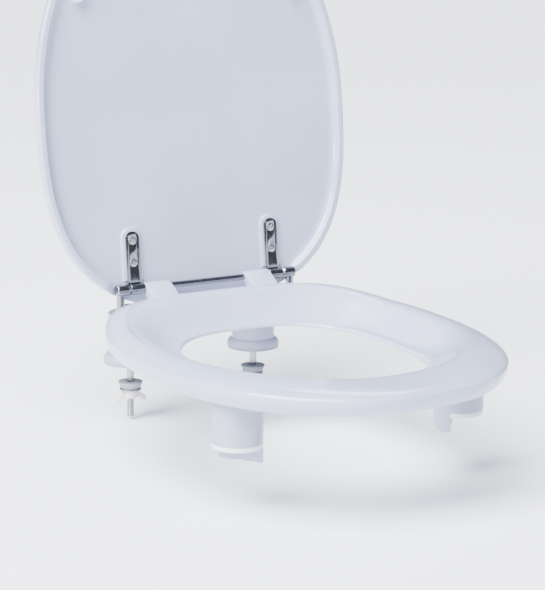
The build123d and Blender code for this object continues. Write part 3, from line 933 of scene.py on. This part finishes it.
# ---- Front buffers ----------------------------------------------------------------------
# Tall moulded columns under the front of the ring.  The outer half stands on the bowl rim
# through a soft pad; the inner half reaches down inside the rim and keeps the seat in place.
def satin_material():
    """Injection-moulded polypropylene: satin from a fine spark-eroded tool, faintly clouded."""
    material, tree, output = new_material("polypropylene_satin_moulding")
    where = {"Vector": add_node(tree, "ShaderNodeTexCoord").outputs["Object"]}
    grain = add_node(tree, "ShaderNodeTexNoise", {"Scale": 900.0, "Detail": 2.0}, where)
    cloud = add_node(tree, "ShaderNodeTexNoise", {"Scale": 30.0, "Detail": 3.0}, where)
    # The tint is darker and bluer than the real white, as the ring's is.
    tint = add_node(tree, "ShaderNodeValToRGB", links={0: cloud.outputs[0]})
    tint.color_ramp.elements[0].position = 0.3
    tint.color_ramp.elements[0].color = srgb("9298AE")
    tint.color_ramp.elements[1].position = 0.75
    tint.color_ramp.elements[1].color = srgb("A2A8BE")
    gloss = add_node(tree, "ShaderNodeMapRange", {1: 0.3, 2: 0.7, 3: 0.3, 4: 0.42}, {0: cloud.outputs[0]})
    bump = add_node(tree, "ShaderNodeBump", {"Strength": 0.25, "Distance": 0.03 * MM},
                    {"Height": grain.outputs[0]})
    shader = add_node(tree, "ShaderNodeBsdfPrincipled",
                      {"IOR": 1.49, "Subsurface Weight": 0.1, "Subsurface Scale": 3 * MM},
                      {"Base Color": tint.outputs[0], "Roughness": gloss.outputs[0],
                       "Normal": bump.outputs[0]})
    tree.links.new(shader.outputs[0], output.inputs[0])
    return material


satin_white = satin_material()
step_at = -7 * MM
well_radius, well_roof = 9 * MM, 12 * MM
overrun = 5 * MM


def outer_half(radius, bottom, top):
    """A block over the outer half of a buffer, up to the step."""
    section = [(-radius * 2, bottom), (radius * 2, bottom), (radius * 2, top), (-radius * 2, top)]
    return extruded("outer_half", section, step_at, 2 * radius, satin_white, 0.01 * MM, 1)


def well(bottom, top):
    """A plug the size of the screw well."""
    return turned("well", disc_profile(bottom, top, well_radius), ORIGIN, Z_AXIS, satin_white)


def front_buffer(side, sign):
    """Column and pad are shaped at the origin, their outer half along X, then set in place."""
    low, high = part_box(f"front_buffer_{side}")
    pad_low, pad_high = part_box(f"front_pad_{side}")
    radius = (high.x - low.x) / 2
    centre = Vector(((low.x + high.x) / 2, (low.y + high.y) / 2, 0))
    outward = radians(-90 + sign * 52.66)
    place = Matrix.Translation(centre) @ Matrix.Rotation(outward, 4, "Z")
    column_profile = rounded(disc_profile(low.z, high.z, radius), 0.8 * MM, 3)
    column = turned(f"stepped_buffer_{side}", column_profile, ORIGIN, Z_AXIS, satin_white, 96)
    cut_away(column, outer_half(radius, low.z - overrun, pad_high.z))
    cut_away(column, well(low.z - overrun, high.z - well_roof))
    round_edges(column, 0.9 * MM, 3, 50)
    pad_profile = rounded(disc_profile(pad_low.z, pad_high.z, radius), 0.9 * MM, 3)
    pad = turned(f"soft_rim_pad_{side}", pad_profile, ORIGIN, Z_AXIS, soft_white, 96)
    cut_away(pad, outer_half(radius, pad_low.z - overrun, pad_high.z + overrun), "INTERSECT")
    cut_away(pad, well(pad_low.z - overrun, pad_high.z + overrun))
    pieces = ((column, "front_buffer", "moulded_white"), (pad, "front_pad", "rubber_white"))
    for piece, node, slot_name in pieces:
        piece.data.transform(place)
        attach(piece, f"buffer_{side}")
        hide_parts(f"{node}_{side}")


for side, sign in sides.items():
    front_buffer(side, sign)


# ---- Rear posts -------------------------------------------------------------------------
# Each rear post is a hollow column on a wider foot, standing on a gasket over one fixing
# hole of the bowl, with the fixing bolt running down its middle.
def rear_post(side):
    low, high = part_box(f"rear_post_{side}")
    foot_low, foot_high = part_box(f"rear_foot_{side}")
    centre = Vector(((low.x + high.x) / 2, 0, 0))
    radius = (high.x - low.x) / 2
    foot = (foot_high.x - foot_low.x) / 2
    shaft = tube_profile(low.z, high.z, radius, bolt_hole, 0.8 * MM)
    post = turned(f"rear_column_{side}", shaft, centre, Z_AXIS, satin_white, 96)
    middle = (bolt_hole, (foot_low.z + foot_high.z) / 2)
    skirt = [middle, (bolt_hole, foot_low.z), (foot, foot_low.z), (foot, foot_low.z + 3.5 * MM),
             (foot - 1.2 * MM, foot_low.z + 6.5 * MM), (radius + 1.2 * MM, foot_high.z),
             (bolt_hole, foot_high.z), middle]
    skirt = rounded(skirt, 1.0 * MM)[:-1]
    ring = turned(f"rear_flared_foot_{side}", skirt, centre, Z_AXIS, satin_white, 96)
    for piece, node in ((post, "rear_post"), (ring, "rear_foot")):
        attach(piece, "mounting")
        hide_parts(f"{node}_{side}")


for side in sides:
    rear_post(side)


# ---- Washers and gaskets ----------------------------------------------------------------
# A flat gasket under each foot; below the bowl a cone washer and a plain steel washer.
def grey_rubber_material():
    """Moulded rubber: dark grey, matt, with a bloom of lighter dust."""
    material, tree, output = new_material("moulded_rubber_grey")
    where = {"Vector": add_node(tree, "ShaderNodeTexCoord").outputs["Object"]}
    bloom = add_node(tree, "ShaderNodeTexNoise", {"Scale": 180.0, "Detail": 6.0}, where)
    tint = add_node(tree, "ShaderNodeValToRGB", links={0: bloom.outputs[0]})
    tint.color_ramp.elements[0].color = srgb("7E828A")
    tint.color_ramp.elements[1].color = srgb("A2A6AE")
    gloss = add_node(tree, "ShaderNodeMapRange", {1: 0.3, 2: 0.7, 3: 0.6, 4: 0.8}, {0: bloom.outputs[0]})
    bump = add_node(tree, "ShaderNodeBump", {"Strength": 0.3, "Distance": 0.05 * MM},
                    {"Height": bloom.outputs[0]})
    shader = add_node(tree, "ShaderNodeBsdfPrincipled", {"IOR": 1.5},
                      {"Base Color": tint.outputs[0], "Roughness": gloss.outputs[0],
                       "Normal": bump.outputs[0]})
    tree.links.new(shader.outputs[0], output.inputs[0])
    return material


grey_rubber = grey_rubber_material()
nut_bore = 3.95 * MM


def washer(node, name, bore, material, edge, taper=0.0):
    """A washer with the outer size of its CAD node."""
    low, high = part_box(node)
    centre = Vector(((low.x + high.x) / 2, (low.y + high.y) / 2, 0))
    profile = tube_profile(low.z, high.z, (high.x - low.x) / 2, bore, edge, taper)
    piece = turned(name, profile, centre, Z_AXIS, material, 72)
    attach(piece, "mounting")
    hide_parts(node)


def washers(side):
    washer(f"rear_gasket_{side}", f"rubber_gasket_{side}", bolt_hole, grey_rubber, 0.4 * MM)
    washer(f"cone_washer_{side}", f"rubber_cone_washer_{side}", nut_bore, grey_rubber,
           0.8 * MM, 4 * MM)
    washer(f"steel_washer_{side}", f"plain_washer_{side}", 4.3 * MM, screw_steel, 0.3 * MM)


# ---- Bowl fixings -----------------------------------------------------------------------
# One bolt per post: hex head on the pillar plate, and below the bowl a nylon wing nut.  The
# thread is rolled, and wound here as a real ridge.
thread_radius, thread_pitch, thread_turns, thread_ridge = 3.35 * MM, 1.25 * MM, 31, 0.36 * MM


def thread_tree():
    """A ridge wound round the bolt: radius, pitch, turns and ridge are its inputs."""
    sizes = [("Radius", "NodeSocketFloat", thread_radius), ("Pitch", "NodeSocketFloat", thread_pitch),
             ("Turns", "NodeSocketInt", thread_turns), ("Ridge", "NodeSocketFloat", thread_ridge)]
    tree, given, result = node_tree_for("rolled_thread", sizes)
    turns, radius = given.outputs["Turns"], given.outputs["Radius"]
    length = add_node(tree, "ShaderNodeMath", links={0: given.outputs["Pitch"], 1: turns},
                      operation="MULTIPLY")
    coil = add_node(tree, "GeometryNodeCurveSpiral", {"Resolution": 24},
                    {"Rotations": turns, "Start Radius": radius, "End Radius": radius,
                     "Height": length.outputs[0]})
    section = add_node(tree, "GeometryNodeCurvePrimitiveCircle", {"Resolution": 4},
                       {"Radius": given.outputs["Ridge"]})
    ridge = add_node(tree, "GeometryNodeCurveToMesh", {"Fill Caps": True},
                     {"Curve": coil.outputs[0], "Profile Curve": section.outputs[0]})
    finish_tree(tree, ridge.outputs[0], screw_steel, result)
    return tree


rolled_thread = thread_tree()


def fixing_bolt(side):
    """Core with a plain neck, hex head, and the thread up to the neck."""
    low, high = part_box(f"fixing_bolt_{side}")
    x = (low.x + high.x) / 2
    centre = Vector((x, 0, 0))
    under = high.z - 5.3 * MM
    neck_low, neck, shank, lap = -22 * MM, 4.0 * MM, 3.7 * MM, 0.2 * MM
    core = [(0, low.z), (thread_radius, low.z), (thread_radius, neck_low), (neck, neck_low), (neck, 0),
            (shank, 0), (shank, under + lap), (0, under + lap)]
    body = turned("bolt_shank", rounded(core, 0.25 * MM, 2), centre, Z_AXIS, screw_steel, 40)
    across_flats = 13 * MM
    corner = across_flats / 2 / cos(pi / 6)
    outline = [(corner * cos(pi / 3 * i), corner * sin(pi / 3 * i)) for i in range(6)]
    near, far = [[Vector((x + px, py, z)) for px, py in outline] for z in (under, high.z)]
    head = prism("bolt_head", near, far, screw_steel)
    round_edges(head, 0.5 * MM, 3, 40)
    values = {"Radius": thread_radius, "Pitch": thread_pitch, "Turns": thread_turns, "Ridge": thread_ridge}
    place = Matrix.Translation((x, 0, low.z + 0.6 * MM))
    thread = run_tree("bolt_thread", rolled_thread, values, screw_steel, place)
    bolt = join_pieces(f"hex_bolt_{side}", [body, head, thread])
    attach(bolt, "mounting")
    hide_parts(f"fixing_bolt_{side}")


def wing_nut(side):
    """A tapered hub with two wings that sweep down and out."""
    low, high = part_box(f"wing_nut_{side}")
    x = (low.x + high.x) / 2
    top = high.z
    hub_depth, middle = -9 * MM, (nut_bore, -4 * MM)
    hub = [middle, (nut_bore, 0), (8 * MM, 0), (7.2 * MM, hub_depth), (nut_bore, hub_depth), middle]
    hub = rounded(hub, 0.6 * MM)[:-1]
    pieces = [turned("hub", hub, Vector((x, 0, top)), Z_AXIS, nylon, 64)]
    outline = [(5, -1.2), (8, -1.4), (12, -4.2), (16, -7.6), (19, -9.2), (19, -13), (17.6, -15),
               (15, -14.4), (9, -9.4), (5, -7)]
    half_thickness = 1.8 * MM
    for sign in sides.values():
        near, far = [[Vector((x + sign * px * MM, y, top + pz * MM)) for px, pz in outline]
                     for y in (-half_thickness, half_thickness)]
        wing = prism("wing", near, far, nylon)
        round_edges(wing, 1.0 * MM, 4, 40)
        pieces.append(wing)
    nut = join_pieces(f"nylon_wing_nut_{side}", pieces)
    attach(nut, f"wing_nut_{side}")
    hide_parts(f"wing_nut_{side}")


def buffer_screw(side):
    """The screw that holds a front buffer, seen only from below, up its well."""
    low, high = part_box(f"front_buffer_screw_{side}")
    centre = Vector(((low.x + high.x) / 2, (low.y + high.y) / 2, 0))
    head_top, shank = low.z + 3 * MM, 3 * MM
    profile = [(0, low.z), (6.4 * MM, low.z), (8 * MM, head_top), (shank, head_top),
               (shank, high.z - 2 * MM), (0.6 * MM, high.z)]
    profile = rounded(profile, 0.5 * MM) + [(0, high.z)]
    screw = turned(f"pan_head_screw_{side}", profile, centre, Z_AXIS, screw_steel, 48)
    place = Matrix.Translation(centre + Vector((0, 0, low.z)))
    cross_recess(screw, place, 4 * MM, 0.7 * MM, 0.5 * MM, 1.6 * MM, 15)
    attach(screw, "seat")
    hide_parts(f"front_buffer_screw_{side}")


for side in sides:
    washers(side)
    fixing_bolt(side)
    wing_nut(side)
    buffer_screw(side)
